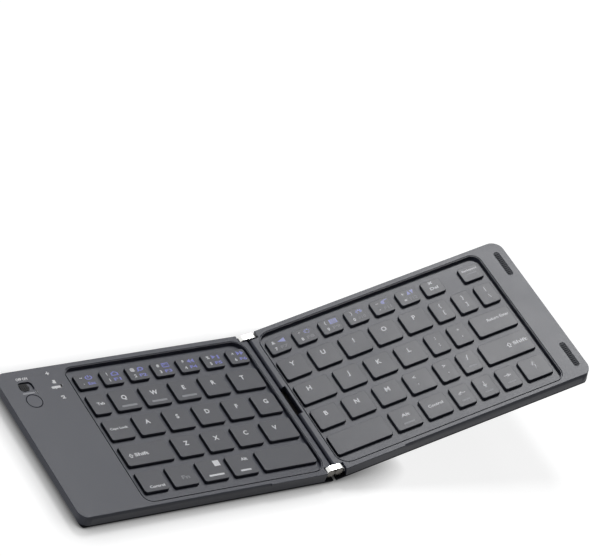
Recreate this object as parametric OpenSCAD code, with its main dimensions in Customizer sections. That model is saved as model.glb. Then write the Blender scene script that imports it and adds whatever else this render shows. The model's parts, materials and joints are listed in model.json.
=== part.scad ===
// Folding keyboard: two halves on geared twin-axis hinges, standing slightly folded.
// Each half is drawn open flat, with u running from the seam to its outer end, and is then placed.

/* [Overall] */
// Width when it is open flat
open_w = 304.5; // [300:0.5:320]
// Depth from the front edge to the rear edge
depth = 98; // [97:0.5:106]
// Thickness of each half's casing, without its feet
case_t = 7.7; // [7.6:0.1:9]
// Angle between the halves as it stands, where 0 is open flat
fold_deg = 17; // [0:1:40]

/* [Casing] */
// Radius of the four outer corners, seen from above
corner_r = 6.5; // [4:0.5:9]
// Rounding of the lower edge along the front and rear
edge_r = 1.6; // [1:0.1:2]
// Rounding of the lower edge at the outer ends
end_edge_r = 5.2; // [4:0.1:5.6]
// Rounding of the lower edge at the seam
seam_edge_r = 2; // [1:0.1:2.1]
// Height of the bottom cover, up to the parting line
cover_h = 2.1; // [2.1:0.1:2.6]
// Thickness of the bottom cover's floor
floor_t = 1.2; // [1:0.1:1.3]
// Width of the rim in front of and behind the sunken bed
rim_w = 3.5; // [3.2:0.1:4.5]
// Thickness of the front and rear walls below the bed
rail_w = 4.7; // [4.4:0.1:5.2]
// Thickness of the wall at the outer end
end_wall = 3.5; // [3.2:0.1:4]
// Width of the control strip at the outer end of the left half
control_strip_w = 39.25; // [38:0.25:44]
// Width of the strip with the pads at the outer end of the right half
pad_strip_w = 15.35; // [13:0.05:18]
// Thickness of the plate over the end strips
strip_t = 1.3; // [1.2:0.1:1.5]
// Depth of the bed below the rim
bed_drop = 1.9; // [1.7:0.1:2.1]
// Thickness of the web between the keys
web_t = 1; // [0.8:0.1:1.2]
// Distance from the seam to the bed
bed_start = 5; // [4.8:0.1:5.6]
// Radius of the bed's corners beside the hinges
bed_hinge_r = 7; // [7:0.5:8]
// Radius of the bed's outer corners
bed_r = 5; // [3:0.5:6]
// Width of the thin lip round the bed
lip_w = 0.25; // [0.2:0.05:0.3]
// Width of the groove round that lip
groove_w = 0.35; // [0.3:0.05:0.4]
// Depth of that groove
groove_d = 0.6; // [0.4:0.1:0.7]
// Width of the bevel that gives a finger grip on the front edge
grip_bevel = 0.7; // [0.4:0.1:1.2]
// Distance from the seam to the start of the finger grip
grip_start = 40.3; // [30:0.5:60]

/* [Keys] */
// Distance from the seam to the first key
key_start = 6.5; // [6.3:0.1:7]
// Width of a letter key; the keys of a row share its length in the ratio of their widths
key_w = 14.5; // [14:0.1:14.8]
// Depth of a key
key_d = 13.35; // [13:0.05:14]
// Depth of a key in the number row
number_d = 9.45; // [9:0.05:9.8]
// Width of a key in the number row
number_w = 11.35; // [11:0.05:11.4]
// Width of a narrow punctuation or arrow key
narrow_w = 10.2; // [9.8:0.1:10.4]
// Gap between the keys of one row
key_gap = 3.5; // [3.2:0.1:3.6]
// Gap between the keys of the number row
number_gap = 4; // [3.6:0.1:4]
// Distance from one row of keys to the next
row_pitch = 17.65; // [17.5:0.05:17.8]
// Front edge of the nearest row, measured from the middle
first_row = -39.6; // [-40:0.1:-39]
// Distance from the outermost keys to the end of the bed
bed_margin = 3; // [2:0.1:4]
// Width of the tab key
tab_w = 9.7; // [9:0.1:10]
// Width of the caps lock key and of the left control key
caps_w = 14; // [13:0.1:14.4]
// Width of the left shift key
shift_w = 27.3; // [26:0.1:28]
// Width of the T key
t_w = 18.3; // [17:0.1:20]
// Width of the G key
g_w = 14; // [13:0.1:15]
// Width of the V key
v_w = 18.7; // [17:0.1:20]
// Width of the H key
h_w = 19.4; // [19:0.1:20]
// Width of the backslash key
slash_w = 10; // [9:0.1:11]
// Width of the enter key
enter_w = 23.1; // [22:0.1:25]
// Width of the right shift key
right_shift_w = 28; // [26:0.1:30]
// Width of the end key
end_key_w = 14.8; // [13:0.1:16]
// Width of each space key
space_w = 32; // [31:0.1:33]
// Width of the backspace key
backspace_w = 11.5; // [11:0.1:12]
// Extra gap in front of the backspace key
number_space = 3.5; // [2:0.1:4]
// Extra distance from the seam to the number row of the right half
right_number_shift = 0.9; // [0:0.1:1]
// Radius of a key's corners
key_r = 1.3; // [0.8:0.1:2]
// Height of a key cap
cap_h = 2.9; // [2.6:0.1:3]
// Thickness of a key cap's top
cap_top = 1; // [0.8:0.1:1.2]
// Thickness of a key cap's skirt
cap_wall = 0.9; // [0.7:0.1:1]
// Depth of the key tops below the rim
key_drop = 0.35; // [0.3:0.05:0.5]
// Gap between a key and its opening in the web
key_clear = 0.25; // [0.15:0.05:0.3]
// Radius of the post under a key cap
post_r = 1.5; // [1.2:0.1:1.7]

/* [Hinge] */
// Depth of the hinge axes below the rim
axis_drop = 2.15; // [2:0.05:2.3]
// Gap between the rims when the keyboard is shut
shut_gap = 0.5; // [0.4:0.05:0.6]
// Gap between each half and the middle of the seam
seam_gap = 0.15; // [0.1:0.05:0.2]
// Radius of a link's rounded ends
link_r = 3.2; // [3.1:0.05:3.3]
// Thickness of the link's cap over the gears
link_cap_t = 0.3; // [0.25:0.05:0.35]
// Width of a link, along the seam
link_w = 3; // [2.8:0.1:3.2]
// Thickness of the link's plate that the shafts run in
link_plate = 1.2; // [1:0.1:1.3]
// Distance of a link's outer face from the casing's edge
link_inset = 1.2; // [1.1:0.1:1.5]
// Gap between a link and the walls of its notch
notch_gap = 0.3; // [0.25:0.05:0.35]
// Radius of a hinge shaft
shaft_r = 0.8; // [0.7:0.05:0.9]
// Clearance round a shaft in its link
shaft_clear = 0.03; // [0.02:0.01:0.08]
// Radius of the bracket's eye round the shaft
eye_r = 1.5; // [1.3:0.05:1.6]
// Length of the bracket's eye
eye_len = 5; // [4:0.5:6]
// Number of teeth on each hinge gear
gear_teeth = 12; // [10:2:14]
// Height of a gear tooth above the pitch circle
tooth_up = 0.28; // [0.2:0.02:0.3]
// Depth of a gear tooth below the pitch circle
tooth_down = 0.42; // [0.36:0.02:0.5]
// Length of a hinge gear
gear_w = 1.2; // [1:0.1:1.3]
// Thickness of the bracket's leaf
leaf_t = 0.7; // [0.5:0.1:0.8]
// Width of the bracket's leaf
leaf_w = 3.4; // [2.6:0.1:3.8]
// Length of the bracket's leaf, from the seam
leaf_len = 12; // [10:0.5:14]

/* [Flex cable] */
// Width of the flex cable
flex_w = 16; // [12:0.5:16.5]
// Thickness of the flex cable
flex_t = 0.25; // [0.15:0.05:0.3]
// Length of the slot in the seam for the flex cable
slot_len = 18.4; // [17.5:0.1:20]
// Middle of that slot, measured from the middle of the depth
slot_mid = 1.2; // [-3:0.1:3]
// Reach of the slot into the left half
slot_left = 1.4; // [1.3:0.1:1.8]
// Reach of the slot into the right half
slot_right = 3; // [2.8:0.1:3.4]

/* [Control strip] */
// Distance from the outer end to the middle of the power switch
switch_end = 13.95; // [12:0.05:16]
// Distance from the rear edge to the middle of the power switch
switch_rear = 11; // [10:0.1:13]
// Length of the recess that the switch slides in
switch_len = 8; // [7.6:0.1:9]
// Width of that recess
switch_w = 5.8; // [5.4:0.1:6.4]
// Radius of that recess's corners
switch_r = 2; // [1:0.1:2.4]
// Depth of that recess
switch_depth = 0.9; // [0.7:0.1:1]
// Length of the sliding knob
knob_len = 4.6; // [4:0.1:5]
// Travel of the sliding knob
knob_travel = 2; // [1.5:0.1:2.4]
// Distance from the outer end to the middle of the connect button
button_end = 13.75; // [12:0.05:16]
// Distance from the rear edge to the middle of the connect button
button_rear = 20.8; // [20:0.1:22]
// Radius of the connect button
button_r = 4.15; // [3.8:0.05:4.4]
// Gap round the connect button
button_gap = 0.2; // [0.15:0.05:0.25]
// Radius of an indicator's light pipe
pipe_r = 0.5; // [0.4:0.05:0.6]
// Distance from the outer end to the indicators
pipe_end = 29.55; // [28:0.05:31]
// Distance from the outer end to the middle of the charging port
port_end = 24.25; // [22:0.25:26]
// Width of the charging port's metal shell
port_w = 8.9; // [8.6:0.1:9.2]
// Height of the charging port's metal shell
port_h = 3.1; // [2.9:0.05:3.1]
// Length of the charging port's metal shell
port_len = 7; // [6.5:0.1:7.5]

/* [Inside] */
// Thickness of the steel plate under the keys
plate_t = 0.4; // [0.3:0.05:0.45]
// Thickness of the switch membrane
membrane_t = 0.3; // [0.2:0.05:0.3]
// Radius of a rubber dome at its foot
dome_r = 2.1; // [1.8:0.1:2.2]
// Radius of a rubber dome's head
dome_head_r = 1.3; // [1.1:0.1:1.4]
// Height of a rubber dome
dome_h = 2.8; // [2.6:0.1:2.9]
// Gap between a scissor clip and the skirt of the narrowest key cap
clip_side = 0.35; // [0.2:0.05:0.6]
// Width of a scissor clip
clip_w = 6.6; // [6.2:0.1:6.8]
// Thickness of a scissor clip's arms
clip_t = 0.7; // [0.5:0.05:0.8]
// Distance from the bed to the battery and the circuit board
strip_inset = 3; // [2.5:0.1:4]
// Distance from the front wall to the battery
battery_front = 5.6; // [1:0.1:12]
// Distance from the battery to the end wall
battery_side = 1.75; // [0.5:0.05:4]
// Distance from the battery to the circuit board
battery_gap = 3; // [1:0.5:5]
// Thickness of the battery
battery_t = 3.2; // [2.5:0.1:3.4]
// Length of the circuit board
board_len = 43.7; // [40:0.1:46]
// Distance from the circuit board to the end wall and the rear wall
board_gap = 0.3; // [0.2:0.05:0.6]
// Thickness of the circuit board
board_t = 0.8; // [0.6:0.1:1]
// Height of the posts that carry the circuit board
standoff_h = 1; // [0.9:0.1:1.1]
// Radius of those posts
standoff_r = 1.6; // [1.2:0.1:2]
// Distance of those posts from the board's sides
standoff_side = 3; // [2.5:0.1:4]
// Distance of the front posts from the board's front edge
standoff_front = 4; // [3:0.1:6]
// Distance of the rear posts from the board's rear edge
standoff_rear = 10; // [9:0.1:12]
// Side of the controller chip
chip_w = 7; // [5:0.5:9]
// Distance of the chip from the board's side and front
chip_inset = 8.5; // [7:0.5:12]
// Length of the socket that the membrane's cable plugs into
socket_len = 18; // [14:0.5:20]
// Width of that socket
socket_w = 3; // [2:0.1:4]

/* [Feet, pads and screws] */
// Height of the feet below the casing
foot_h = 0.5; // [0.4:0.1:1]
// Radius of a foot
foot_r = 4; // [3:0.1:5]
// Depth of the seat that holds a foot
foot_seat = 0.3; // [0.2:0.1:0.5]
// Distance from the seam to the inner feet
foot_in = 9; // [8:0.5:12]
// Distance from the outer end to the outer feet
foot_out = 12; // [9:0.5:16]
// Distance from the front and rear edges to the feet
foot_side = 11; // [9:0.5:14]
// Length of a ribbed pad
pad_len = 16.6; // [14:0.1:18]
// Width of a ribbed pad
pad_w = 2.8; // [2.4:0.1:3.4]
// Distance from the outer end to the middle of a pad
pad_end = 5.3; // [4.8:0.1:6]
// Distance from the front and rear edges to the middle of a pad
pad_side = 15.4; // [13:0.1:18]
// Depth of a pad's pocket
pad_seat = 0.8; // [0.6:0.1:0.9]
// Height of a pad's ribs above the rim
pad_rise = 0.15; // [0.1:0.05:0.2]
// Number of ribs on a pad
pad_ribs = 12; // [8:1:14]
// Radius of a case screw's head
head_r = 1.2; // [1:0.05:1.3]
// Height of a case screw's head
head_h = 0.6; // [0.5:0.05:0.7]
// Radius of a case screw's shank
screw_r = 0.55; // [0.45:0.05:0.6]
// Distance from the seam to the first screws
screw_in = 22; // [18:0.5:26]
// Distance from the seam to the middle screws
screw_mid = 78; // [70:0.5:86]
// Distance from the outer end to the last screws
screw_out = 12.25; // [10:0.25:16]
// Distance from the front and rear edges to the screws
screw_side = 3; // [2.95:0.05:3.1]

/* [Hidden] */
LEFT = 0;
RIGHT = 1;
$fn = 48;
eps = 0.01;
past = 1; // how far a cut runs past the face it opens
fit = 0.05; // gap round a piece held in its seat

half_w = open_w / 2;
half_d = depth / 2;
half_fold = fold_deg / 2;

// Levels, from the table upwards
z_case = foot_h;
z_floor = z_case + floor_t;
z_part = z_case + cover_h;
z_rim = z_case + case_t;
z_bed = z_rim - bed_drop;
z_web = z_bed - web_t;
z_strip = z_rim - strip_t;
z_key = z_rim - key_drop;
z_cap = z_key - cap_h;
z_plate = z_floor + plate_t;
z_membrane = z_plate + membrane_t;
z_dome = z_membrane + dome_h;
z_board = z_floor + standoff_h + board_t;

// Hinge
axis_u = axis_drop + shut_gap / 2;
z_axis = z_rim - axis_drop;
nose_r = axis_u - seam_gap;
gear_tip = axis_u + tooth_up;
gear_root = axis_u - tooth_down;
gear_step = 360 / gear_teeth;
link_out = half_d - link_inset;
link_in = link_out - link_w;
notch_in = link_in - notch_gap;
notch_u = axis_u + link_r + notch_gap;
eye_out = notch_in - notch_gap;

bed_end = [half_w - control_strip_w, half_w - pad_strip_w];

// Rows of keys from the rear to the front, each from the seam outwards
ROWS = [
    [
        [number_w, number_w, number_w, number_w, number_w, number_w, number_w],
        [t_w, key_w, key_w, key_w, key_w, tab_w],
        [g_w, key_w, key_w, key_w, key_w, caps_w],
        [v_w, key_w, key_w, key_w, shift_w],
        [space_w, key_w, key_w, key_w, caps_w],
    ],
    [
        [number_w, number_w, number_w, number_w, number_w, number_w, number_w, number_space, backspace_w],
        [key_w, key_w, key_w, key_w, key_w, narrow_w, narrow_w, slash_w],
        [h_w, key_w, key_w, key_w, narrow_w, narrow_w, enter_w],
        [key_w, key_w, key_w, key_w, narrow_w, narrow_w, right_shift_w],
        [space_w, key_w, key_w, narrow_w, narrow_w, narrow_w, end_key_w],
    ],
];
BLANK = [RIGHT, 0, 7]; // place in the right number row that holds no key

// Key nodes: name, half, and the row and place of each key in it
KEY_NODES = [
    ["left_number_keys", LEFT, [for (i = [0:6]) [0, i]]],
    ["left_edge_keys", LEFT, [[1, 5], [2, 5], [3, 4], [4, 1], [4, 2], [4, 3], [4, 4]]],
    ["key_q", LEFT, [[1, 4]]],
    ["key_w", LEFT, [[1, 3]]],
    ["key_e", LEFT, [[1, 2]]],
    ["key_r", LEFT, [[1, 1]]],
    ["key_t", LEFT, [[1, 0]]],
    ["key_a", LEFT, [[2, 4]]],
    ["key_s", LEFT, [[2, 3]]],
    ["key_d", LEFT, [[2, 2]]],
    ["key_f", LEFT, [[2, 1]]],
    ["key_g", LEFT, [[2, 0]]],
    ["key_z", LEFT, [[3, 3]]],
    ["key_x", LEFT, [[3, 2]]],
    ["key_c", LEFT, [[3, 1]]],
    ["key_v", LEFT, [[3, 0]]],
    ["key_space_left", LEFT, [[4, 0]]],
    ["right_number_keys", RIGHT, [for (i = [0:6]) [0, i], [0, 8]]],
    ["right_edge_keys", RIGHT, [
        [1, 5], [1, 6], [1, 7], [2, 4], [2, 5], [2, 6], [3, 3], [3, 4], [3, 5], [3, 6],
    ]],
    ["right_bottom_keys", RIGHT, [for (i = [1:6]) [4, i]]],
    ["key_y", RIGHT, [[1, 0]]],
    ["key_u", RIGHT, [[1, 1]]],
    ["key_i", RIGHT, [[1, 2]]],
    ["key_o", RIGHT, [[1, 3]]],
    ["key_p", RIGHT, [[1, 4]]],
    ["key_h", RIGHT, [[2, 0]]],
    ["key_j", RIGHT, [[2, 1]]],
    ["key_k", RIGHT, [[2, 2]]],
    ["key_l", RIGHT, [[2, 3]]],
    ["key_b", RIGHT, [[3, 0]]],
    ["key_n", RIGHT, [[3, 1]]],
    ["key_m", RIGHT, [[3, 2]]],
    ["key_space_right", RIGHT, [[4, 0]]],
];

// Sum of a list's first n numbers
function total(list, n) = n <= 0 ? 0 : list[n - 1] + total(list, n - 1);
function row_gap(r) = r == 0 ? number_gap : key_gap;
function row_start(side, r) = key_start + (side == RIGHT && r == 0 ? right_number_shift : 0);
// How much the keys of a row are stretched to fill it
function row_fill(side, r) =
    (bed_end[side] - bed_margin - row_start(side, r) - row_gap(r) * (len(ROWS[side][r]) - 1))
    / total(ROWS[side][r], len(ROWS[side][r]));
function width(side, r, i) = ROWS[side][r][i] * row_fill(side, r);
function start(side, r, i) =
    row_start(side, r) + total(ROWS[side][r], i) * row_fill(side, r) + row_gap(r) * i;
function row_y(r) = first_row + (4 - r) * row_pitch;
function row_d(r) = r == 0 ? number_d : key_d;
function mid_u(side, r, i) = start(side, r, i) + width(side, r, i) / 2;
function mid_y(r) = row_y(r) + row_d(r) / 2;
function keys_of(side) = [
    for (r = [0:4], i = [0:len(ROWS[side][r]) - 1]) if ([side, r, i] != BLANK) [r, i]
];
narrowest = min([for (side = [LEFT, RIGHT], k = keys_of(side)) width(side, k[0], k[1])]);
clip_len = narrowest - 2 * cap_wall - 2 * clip_side;

// Turns a point [x, z] about another, raising its right side
function turned(p, c, deg) = [
    c[0] + (p[0] - c[0]) * cos(deg) - (p[1] - c[1]) * sin(deg),
    c[1] + (p[0] - c[0]) * sin(deg) + (p[1] - c[1]) * cos(deg),
];
LEFT_AXIS = [-axis_u, z_axis];
RIGHT_AXIS = [axis_u, z_axis];
// Where a point of the right half lies once the keyboard is folded
function on_right(p) = turned(turned(p, RIGHT_AXIS, half_fold), LEFT_AXIS, half_fold);
end_arc = on_right([half_w - end_edge_r, z_case + end_edge_r]);
x_mid = (end_arc[0] + end_edge_r - half_w) / 2;

// Places each thing in the shared frame, whose origin is under the middle of the whole keyboard
module in_frame() translate([-x_mid, 0, 0]) children();
module turn_about(c, deg)
    translate([c[0], 0, c[1]]) rotate([0, -deg, 0]) translate([-c[0], 0, -c[1]]) children();
module on_link() in_frame() turn_about(LEFT_AXIS, half_fold) children();
module on_half(side) {
    if (side == LEFT) in_frame() mirror([1, 0, 0]) children();
    else on_link() turn_about(RIGHT_AXIS, half_fold) children();
}

// Extrudes an outline drawn in x and z along y, and one drawn in y and z along x
module along_y(y0, y1) translate([0, y1, 0]) rotate([90, 0, 0]) linear_extrude(y1 - y0) children();
module along_x(x0, x1) translate([x0, 0, 0]) rotate([90, 0, 90]) linear_extrude(x1 - x0) children();
// Extrudes a plan upwards between two levels
module between(z0, z1) translate([0, 0, z0]) linear_extrude(z1 - z0) children();
module box(u0, u1, y0, y1, z0, z1) translate([u0, y0, z0]) cube([u1 - u0, y1 - y0, z1 - z0]);
// Both ends of the seam
module front_and_rear() {
    children();
    mirror([0, 1, 0]) children();
}

module round_rect(u0, u1, y0, y1, r) {
    translate([u0 + r, y0]) square([u1 - u0 - 2 * r, y1 - y0]);
    translate([u0, y0 + r]) square([u1 - u0, y1 - y0 - 2 * r]);
    for (u = [u0 + r, u1 - r], y = [y0 + r, y1 - r]) translate([u, y]) circle(r);
}
// Rectangle centred at the origin
module pill_rect(w, d, r) round_rect(-w / 2, w / 2, -d / 2, d / 2, r);

// Outline of a half from above, from the front, and from its end
module half_plan() {
    translate([seam_gap, -half_d]) square([half_w - seam_gap - corner_r, depth]);
    translate([seam_gap, corner_r - half_d]) square([half_w - seam_gap, depth - 2 * corner_r]);
    for (s = [-1, 1]) translate([half_w - corner_r, s * (half_d - corner_r)]) circle(corner_r);
}
module front_outline() {
    seam_low = z_case + seam_edge_r;
    end_low = z_case + end_edge_r;
    mid = half_w / 2;
    translate([seam_gap + seam_edge_r, z_case]) square([mid - seam_gap - seam_edge_r, z_rim - z_case]);
    translate([seam_gap, seam_low]) square([mid - seam_gap, z_axis - seam_low]);
    translate([seam_gap + seam_edge_r, seam_low]) circle(seam_edge_r);
    intersection() {
        translate([axis_u, z_axis]) circle(nose_r);
        translate([0, seam_low]) square([axis_u + nose_r, z_rim - seam_low]);
    }
    translate([mid - eps, z_case]) square([half_w - end_edge_r - mid + eps, z_rim - z_case]);
    translate([mid, end_low]) square([half_w - mid, z_rim - end_low]);
    translate([half_w - end_edge_r, end_low]) circle(end_edge_r);
}
module end_outline() {
    translate([-half_d, z_case + edge_r]) square([depth, case_t - edge_r]);
    translate([edge_r - half_d, z_case]) square([depth - 2 * edge_r, case_t]);
    for (s = [-1, 1]) translate([s * (half_d - edge_r), z_case + edge_r]) circle(edge_r);
}
// The whole casing of a half before it is hollowed
module casing(z0, z1) intersection() {
    between(z0, z1) half_plan();
    along_y(-depth, depth) front_outline();
    along_x(-past, half_w + past) end_outline();
}
// Plan of the space inside the casing
module inside_plan()
    round_rect(bed_start, half_w - end_wall, rail_w - half_d, half_d - rail_w, corner_r - end_wall);
// Plan of the sunken bed, grown by a margin
module bed_plan(side, grow = 0) {
    near = bed_start + bed_hinge_r;
    far = bed_end[side] - bed_r;
    y = half_d - rim_w;
    translate([near, -y - grow]) square([far - near, 2 * (y + grow)]);
    translate([bed_start - grow, bed_hinge_r - y]) square([bed_hinge_r + grow, 2 * (y - bed_hinge_r)]);
    translate([far, bed_r - y]) square([bed_r + grow, 2 * (y - bed_r)]);
    for (s = [-1, 1]) {
        translate([near, s * (y - bed_hinge_r)]) circle(bed_hinge_r + grow);
        translate([far, s * (y - bed_r)]) circle(bed_r + grow);
    }
}
module bed_groove(side) between(z_rim - groove_d, z_rim + past) difference() {
    bed_plan(side, lip_w + groove_w);
    bed_plan(side, lip_w);
}
module key_plan(side, r, i, grow = 0)
    round_rect(start(side, r, i) - grow, start(side, r, i) + width(side, r, i) + grow,
        row_y(r) - grow, row_y(r) + row_d(r) + grow, key_r + grow);

// Places of the case screws and feet on a half
SCREWS = [for (u = [screw_in, screw_mid, half_w - screw_out], s = [-1, 1]) [u, s * (half_d - screw_side)]];
FEET = [for (u = [foot_in, half_w - foot_out], s = [-1, 1]) [u, s * (half_d - foot_side)]];
// Middles of the controls on the left half
switch_u = half_w - switch_end;
switch_y = half_d - switch_rear;
button_u = half_w - button_end;
button_y = half_d - button_rear;
pipe_u = half_w - pipe_end;
port_u = half_w - port_end;
PIPES = [for (rear = [20.7, 15, 11.2]) half_d - rear];
// Room for the battery and the circuit board
strip_u = bed_end[LEFT] + strip_inset;
board_end = half_w - end_wall - board_gap;
board_y1 = half_d - rail_w - board_gap;
board_y0 = board_y1 - board_len;
STANDOFFS = [
    for (u = [strip_u + standoff_side, board_end - standoff_side],
        y = [board_y0 + standoff_front, board_y1 - standoff_rear]) [u, y]
];

// Holes and pockets that both halves share
module hinge_notch()
    front_and_rear() box(-past, notch_u, notch_in, half_d + past, z_part, z_rim + past);
module bracket_pocket() front_and_rear() {
    along_y(eye_out - eye_len - fit, notch_in + past) translate([axis_u, z_axis]) circle(eye_r + fit);
    box(axis_u - eye_r - fit, axis_u + eye_r + fit, eye_out - eye_len - fit,
        notch_in + past, z_part - past, z_axis);
    box(axis_u - eye_r - fit, bed_start + past, eye_out - leaf_w - fit,
        notch_in + past, z_part - past, z_part + leaf_t + 3 * fit);
    box(axis_u, leaf_len + fit, eye_out - leaf_w - fit, eye_out + fit,
        z_part - past, z_part + leaf_t + 3 * fit);
}
module cable_way(reach) {
    y0 = slot_mid - slot_len / 2;
    y1 = slot_mid + slot_len / 2;
    box(-past, reach, y0, y1, z_part - past, z_rim + past);
    box(-past, bed_start + past, y0, y1, z_part - past, z_part + 0.9);
}
module grip_cut() along_x(grip_start, half_w + past) polygon([
    [-half_d - past, z_rim - 2 * grip_bevel],
    [-half_d, z_rim - 2 * grip_bevel],
    [grip_bevel - half_d, z_rim],
    [grip_bevel - half_d, z_rim + past],
    [-half_d - past, z_rim + past],
]);

module top_case(side, reach) difference() {
    casing(z_part, z_rim);
    between(z_part - past, z_web) inside_plan();
    between(z_web - eps, z_strip)
        round_rect(bed_end[side] + strip_t, half_w - end_wall, rail_w - half_d, half_d - rail_w, 2);
    between(z_bed, z_rim + past) bed_plan(side);
    bed_groove(side);
    between(z_web - past, z_bed + past)
        for (k = keys_of(side)) key_plan(side, k[0], k[1], key_clear);
    hinge_notch();
    bracket_pocket();
    cable_way(reach);
    grip_cut();
    for (p = SCREWS) translate([p[0], p[1], z_part - past])
        cylinder(h = screw_top() - z_part + past + 0.2, r = screw_r);
}
function screw_top() = z_web;

module left_top_case() color("#4d5058") on_half(LEFT) difference() {
    top_case(LEFT, slot_left);
    switch_recess();
    translate([button_u, button_y, z_strip - past]) cylinder(h = strip_t + 2 * past, r = button_r + button_gap);
    for (y = PIPES) translate([pipe_u, y, z_strip - past]) cylinder(h = strip_t + 2 * past, r = pipe_r + fit);
    along_y(half_d - rail_w - past, half_d + past)
        translate([port_u, port_z()]) pill_rect(port_w + 4 * fit, port_h + 4 * fit, port_h / 2);
}
function port_z() = z_board + port_h / 2 + fit;

// Recess of the power switch, with the slit that the knob's stem passes through
module switch_recess() translate([switch_u, switch_y, 0]) {
    between(z_rim - switch_depth, z_rim + past) pill_rect(switch_len, switch_w, switch_r);
    between(z_strip - past, z_rim) pill_rect(stem_len + knob_travel + 4 * fit, stem_w + 4 * fit, 0.5);
}
stem_len = 1.8;
stem_w = 1.6;

module right_top_case() color("#4d5058") on_half(RIGHT) difference() {
    top_case(RIGHT, slot_right);
    front_and_rear() translate([half_w - pad_end, half_d - pad_side, 0])
        between(z_rim - pad_seat, z_rim + past) pill_rect(pad_w + 2 * fit, pad_len + 2 * fit, pad_w / 2);
}

module bottom_cover(side) difference() {
    casing(z_case, z_part);
    between(z_floor, z_part + past) inside_plan();
    for (p = FEET) translate([p[0], p[1], z_case - past]) cylinder(h = past + foot_seat, r = foot_r + fit);
    for (p = SCREWS) translate([p[0], p[1], 0]) {
        translate([0, 0, z_case - past]) cylinder(h = past + head_h + fit, r = head_r + fit);
        cylinder(h = z_part + past, r = screw_r + fit);
    }
}
module left_bottom_cover() color("#3c3f46") on_half(LEFT) {
    bottom_cover(LEFT);
    for (p = STANDOFFS) translate([p[0], p[1], z_floor - eps]) cylinder(h = standoff_h + eps, r = standoff_r);
}
module right_bottom_cover() color("#3c3f46") on_half(RIGHT) bottom_cover(RIGHT);

// Layers under the keys; the left plate runs on under the battery and the circuit board
module sheet(end, z0, z1, inset)
    between(z0, z1) round_rect(bed_start + inset, end - inset,
        rail_w + inset - half_d, half_d - rail_w - inset, 3);
module left_key_plate() color("#9a9ca0") on_half(LEFT) difference() {
    sheet(half_w - end_wall, z_floor, z_plate, plate_gap);
    for (p = STANDOFFS) translate([p[0], p[1], z_floor - past])
        cylinder(h = plate_t + 2 * past, r = standoff_r + fit);
}
module right_key_plate() color("#9a9ca0") on_half(RIGHT) sheet(bed_end[RIGHT], z_floor, z_plate, plate_gap);
module left_membrane() color("#c8d2c8") on_half(LEFT) sheet(bed_end[LEFT], z_plate, z_membrane, membrane_gap);
module right_membrane() color("#c8d2c8") on_half(RIGHT)
    sheet(bed_end[RIGHT], z_plate, z_membrane, membrane_gap);
plate_gap = 0.4; // from the plate's edge to the walls
membrane_gap = 0.9; // from the membrane's edge to the walls

module dome() {
    wall = 0.35;
    rotate_extrude() polygon([
        [dome_r - 2 * wall, 0],
        [dome_r, 0],
        [dome_r, wall],
        [dome_head_r, dome_h - 2 * wall],
        [dome_head_r, dome_h],
        [0, dome_h],
        [0, dome_h - 3 * wall],
        [dome_head_r - wall, dome_h - 3 * wall],
    ]);
}
module domes(side) for (k = keys_of(side))
    translate([mid_u(side, k[0], k[1]), mid_y(k[0]), z_membrane]) dome();
module left_rubber_domes() color("#e6e2d8") on_half(LEFT) domes(LEFT);
module right_rubber_domes() color("#e6e2d8") on_half(RIGHT) domes(RIGHT);

// A crossed pair of arms on each side of a dome, tied at their feet
module scissor_clip() {
    foot = z_membrane + fit + clip_t / 2;
    head = z_key - cap_top - fit - clip_t / 2;
    reach = clip_len / 2 - clip_t / 2;
    tilt = atan2(head - foot, 2 * reach);
    arm = norm([head - foot, 2 * reach]);
    front_and_rear() along_y(clip_w / 2 - clip_t, clip_w / 2) for (s = [-1, 1])
        translate([0, (foot + head) / 2]) rotate(s * tilt) {
            square([arm, clip_t], center = true);
            for (e = [-1, 1]) translate([e * arm / 2, 0]) circle(clip_t / 2);
        }
    for (s = [-1, 1]) along_y(clip_t / 2 - clip_w / 2, clip_w / 2 - clip_t / 2)
        translate([s * reach, foot]) circle(clip_t / 2 - fit);
}
module scissor_clips(side) for (k = keys_of(side))
    translate([mid_u(side, k[0], k[1]), mid_y(k[0]), 0]) scissor_clip();
module left_scissor_clips() color("#d8d8d4") on_half(LEFT) scissor_clips(LEFT);
module right_scissor_clips() color("#d8d8d4") on_half(RIGHT) scissor_clips(RIGHT);

// Key caps: hollow, with a post that meets the rubber dome
module key_cap(side, r, i) {
    difference() {
        between(z_cap, z_key) key_plan(side, r, i);
        between(z_cap - past, z_key - cap_top) key_plan(side, r, i, -cap_wall);
    }
    translate([mid_u(side, r, i), mid_y(r), z_dome + fit])
        cylinder(h = z_key - cap_top / 2 - z_dome - fit, r = post_r);
}
module key_caps(side, keys) color("#565960") on_half(side) for (k = keys) key_cap(side, k[0], k[1]);

// Electronics under the control strip
module battery() color("#b8bcc2") on_half(LEFT)
    between(z_plate, z_plate + battery_t)
        round_rect(strip_u, half_w - end_wall - battery_side, rail_w - half_d + battery_front,
            board_y0 - battery_gap, 1.5);
module main_board() color("#1f6b45") on_half(LEFT) {
    box(strip_u, board_end, board_y0, board_y1, z_board - board_t, z_board);
    // Body of the power switch, push switch under the button, controller and cable socket
    box(switch_u - 3.6, switch_u + 3.6, switch_y - 1.7, switch_y + 1.7, z_board - eps, knob_foot() - fit);
    box(button_u - 1.6, button_u + 1.6, button_y - 1.6, button_y + 1.6, z_board - eps, z_board + 1);
    translate([strip_u + chip_inset, board_y0 + chip_inset, z_board - eps]) cube([chip_w, chip_w, 0.9]);
    translate([strip_u + 1, board_y0 + 2, z_board - eps]) cube([socket_w, socket_len, 1.2]);
    for (y = PIPES) box(pipe_u - 0.8, pipe_u + 0.8, y - 0.4, y + 0.4, z_board - eps, z_board + 0.6);
}
function knob_foot() = z_board + 1.4;
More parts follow.
